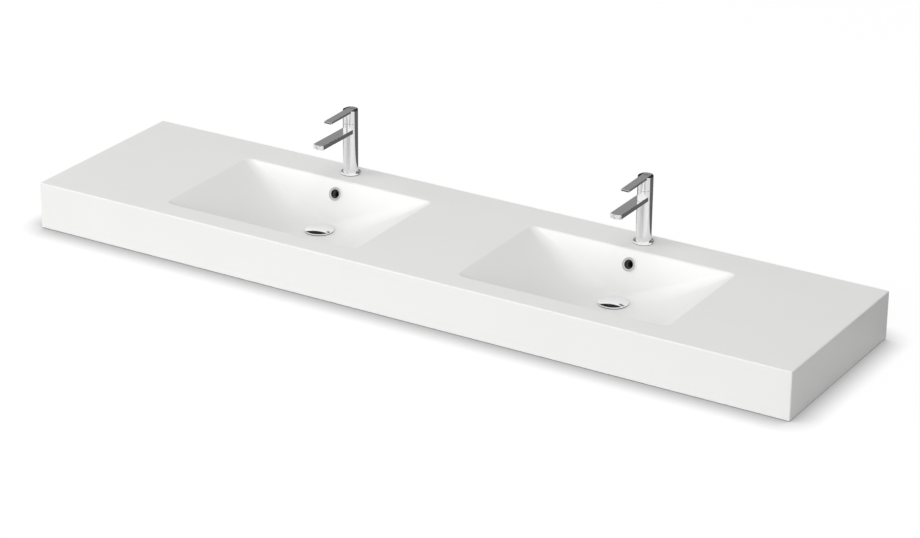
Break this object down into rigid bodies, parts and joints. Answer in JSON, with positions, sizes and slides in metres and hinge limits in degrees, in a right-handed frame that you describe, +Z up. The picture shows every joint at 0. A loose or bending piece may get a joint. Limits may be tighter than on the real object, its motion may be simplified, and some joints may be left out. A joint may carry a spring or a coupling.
{
  "type": "double washbasin",
  "caption": "Long wall-hung slab washbasin with shallow bowls, lever mixer taps that turn and lift, push wastes and overflow pipes.",
  "frame": {"origin": "middle of the wall face at the height of the wall bolts", "axes": "+X along the slab to the right, +Y into the wall, +Z up"},
  "size_m": [1.8, 0.45, 0.334],
  "materials": {
    "solid_surface": "satin white",
    "chrome": "polished",
    "steel": "brushed",
    "brass": "machined",
    "rubber": "matte black",
    "plastic": "moulded pale grey",
    "pipe": "moulded black",
    "disc": "lapped",
    "board": "sawn board"
  },
  "bodies": {
    "basin": {"deck_panel": "solid_surface", "front_apron": "solid_surface", "left_apron": "solid_surface", "right_apron": "solid_surface", "back_rail": "solid_surface", "support_ribs": "board", "tap_seals": "rubber", "tap_studs": "steel", "tap_clamp_pads": "rubber", "tap_clamp_plates": "steel", "tap_nuts": "brass", "waste_upper_seals": "rubber", "waste_lower_seals": "rubber", "waste_nuts": "brass", "left_tap_body": "chrome", "left_tap_base_ring": "chrome", "left_aerator_shell": "chrome", "left_aerator_screen": "plastic", "left_cartridge_base": "plastic", "left_fixed_disc": "disc", "left_cartridge_housing": "plastic", "left_cartridge_nut": "brass", "left_waste_body": "chrome", "left_plug_spring": "steel", "left_bowl": "solid_surface", "left_overflow_ring": "chrome", "left_overflow_pipe": "pipe", "right_tap_body": "chrome", "right_tap_base_ring": "chrome", "right_aerator_shell": "chrome", "right_aerator_screen": "plastic", "right_cartridge_base": "plastic", "right_fixed_disc": "disc", "right_cartridge_housing": "plastic", "right_cartridge_nut": "brass", "right_waste_body": "chrome", "right_plug_spring": "steel", "right_bowl": "solid_surface", "right_overflow_ring": "chrome", "right_overflow_pipe": "pipe"},
    "left_head": {"left_tap_head": "chrome", "left_lever_pin": "steel", "left_head_screw": "steel", "left_cartridge_rotor": "plastic"},
    "left_lever": {"left_tap_lever": "chrome"},
    "left_slider": {"left_flow_slider": "disc"},
    "left_plug": {"left_waste_cap": "chrome", "left_plug_seal": "rubber", "left_plunger": "brass"},
    "right_head": {"right_tap_head": "chrome", "right_lever_pin": "steel", "right_head_screw": "steel", "right_cartridge_rotor": "plastic"},
    "right_lever": {"right_tap_lever": "chrome"},
    "right_slider": {"right_flow_slider": "disc"},
    "right_plug": {"right_waste_cap": "chrome", "right_plug_seal": "rubber", "right_plunger": "brass"}
  },
  "joints": [
    {"name": "left_head_turn", "type": "hinge", "parent": "basin", "child": "left_head", "pos_m": [-0.3625, -0.04, 0.19703], "axis": [0, 0, 1], "range_deg": [-45, 45]},
    {"name": "left_lever_lift", "type": "hinge", "parent": "left_head", "child": "left_lever", "pos_m": [-0.3625, -0.0375, 0.19703], "axis": [-1, 0, 0], "range_deg": [0, 25]},
    {"name": "left_flow_slide", "type": "slide", "parent": "left_head", "child": "left_slider", "axis": [0, -1, 0], "range_m": [0, 0.00445]},
    {"name": "left_plug_slide", "type": "slide", "parent": "basin", "child": "left_plug", "axis": [0, 0, 1], "range_m": [0, 0.009], "deforming": ["left_plug_spring"]},
    {"name": "right_head_turn", "type": "hinge", "parent": "basin", "child": "right_head", "pos_m": [0.3625, -0.04, 0.19703], "axis": [0, 0, 1], "range_deg": [-45, 45]},
    {"name": "right_lever_lift", "type": "hinge", "parent": "right_head", "child": "right_lever", "pos_m": [0.3625, -0.0375, 0.19703], "axis": [-1, 0, 0], "range_deg": [0, 25]},
    {"name": "right_flow_slide", "type": "slide", "parent": "right_head", "child": "right_slider", "axis": [0, -1, 0], "range_m": [0, 0.00445]},
    {"name": "right_plug_slide", "type": "slide", "parent": "basin", "child": "right_plug", "axis": [0, 0, 1], "range_m": [0, 0.009], "deforming": ["right_plug_spring"]}
  ],
  "couplings": [
    {"joint": "left_flow_slide", "follows": "left_lever_lift", "m_per_rad": 0.010203},
    {"joint": "right_flow_slide", "follows": "right_lever_lift", "m_per_rad": 0.010203}
  ]
}
